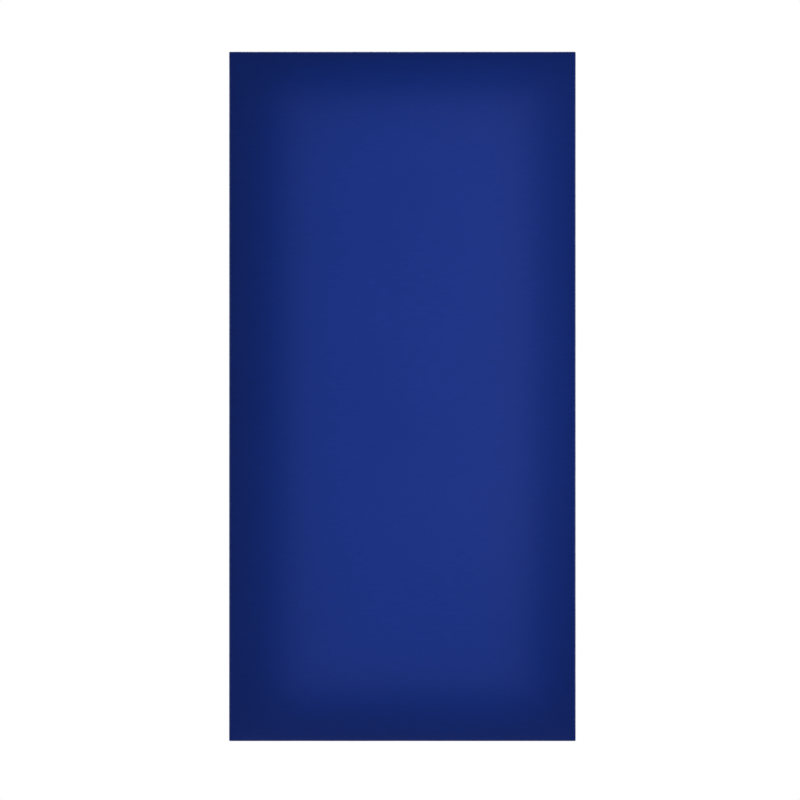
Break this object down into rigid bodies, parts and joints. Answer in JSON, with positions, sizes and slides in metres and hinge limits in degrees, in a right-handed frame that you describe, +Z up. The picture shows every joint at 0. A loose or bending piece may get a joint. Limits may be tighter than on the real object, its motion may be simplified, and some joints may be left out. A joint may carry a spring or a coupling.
{
  "type": "wall punch pad",
  "caption": "Rectangular vinyl-covered foam punch pad on a strand-board back, hung on a wall by hooked aluminium rails that it lifts off.",
  "frame": {"origin": "on the wall, behind the middle of the upper wall rail, 120 mm below the top of the pad", "axes": "+X across the pad, +Y into the wall, +Z up; the struck face looks along -Y"},
  "size_m": [0.613, 0.0695, 1.219],
  "materials": {
    "blue_vinyl": "smooth matte vinyl-coated fabric, royal blue",
    "soft_foam": "open-cell polyurethane foam, cut face",
    "firm_foam": "closed-cell polyethylene foam, cut face",
    "strand_board": "oriented-strand board, unfinished",
    "mill_aluminium": "extruded, mill finish",
    "zinc_plated_steel": "bright zinc plate"
  },
  "bodies": {
    "wall_rails": {"upper_wall_rail": "mill_aluminium", "lower_wall_rail": "mill_aluminium"},
    "pad": {"upper_pad_rail": "mill_aluminium", "lower_pad_rail": "mill_aluminium", "backing_board": "strand_board", "firm_foam_layer": "firm_foam", "soft_foam_layer": "soft_foam", "vinyl_cover": "blue_vinyl", "upper_rail_screw_1": "zinc_plated_steel", "upper_rail_screw_2": "zinc_plated_steel", "upper_rail_screw_3": "zinc_plated_steel", "upper_rail_screw_4": "zinc_plated_steel", "lower_rail_screw_1": "zinc_plated_steel", "lower_rail_screw_2": "zinc_plated_steel", "lower_rail_screw_3": "zinc_plated_steel", "lower_rail_screw_4": "zinc_plated_steel", "staple_top_01": "zinc_plated_steel", "staple_top_02": "zinc_plated_steel", "staple_top_03": "zinc_plated_steel", "staple_top_04": "zinc_plated_steel", "staple_top_05": "zinc_plated_steel", "staple_top_06": "zinc_plated_steel", "staple_top_07": "zinc_plated_steel", "staple_bottom_01": "zinc_plated_steel", "staple_bottom_02": "zinc_plated_steel", "staple_bottom_03": "zinc_plated_steel", "staple_bottom_04": "zinc_plated_steel", "staple_bottom_05": "zinc_plated_steel", "staple_bottom_06": "zinc_plated_steel", "staple_bottom_07": "zinc_plated_steel", "staple_left_01": "zinc_plated_steel", "staple_left_02": "zinc_plated_steel", "staple_left_03": "zinc_plated_steel", "staple_left_04": "zinc_plated_steel", "staple_left_05": "zinc_plated_steel", "staple_left_06": "zinc_plated_steel", "staple_left_07": "zinc_plated_steel", "staple_left_08": "zinc_plated_steel", "staple_left_09": "zinc_plated_steel", "staple_left_10": "zinc_plated_steel", "staple_left_11": "zinc_plated_steel", "staple_left_12": "zinc_plated_steel", "staple_left_13": "zinc_plated_steel", "staple_left_14": "zinc_plated_steel", "staple_left_15": "zinc_plated_steel", "staple_right_01": "zinc_plated_steel", "staple_right_02": "zinc_plated_steel", "staple_right_03": "zinc_plated_steel", "staple_right_04": "zinc_plated_steel", "staple_right_05": "zinc_plated_steel", "staple_right_06": "zinc_plated_steel", "staple_right_07": "zinc_plated_steel", "staple_right_08": "zinc_plated_steel", "staple_right_09": "zinc_plated_steel", "staple_right_10": "zinc_plated_steel", "staple_right_11": "zinc_plated_steel", "staple_right_12": "zinc_plated_steel", "staple_right_13": "zinc_plated_steel", "staple_right_14": "zinc_plated_steel", "staple_right_15": "zinc_plated_steel"}
  },
  "joints": [
    {"name": "pad_lift", "type": "slide", "parent": "wall_rails", "child": "pad", "axis": [0, 0, 1], "range_m": [0, 0.014]}
  ]
}
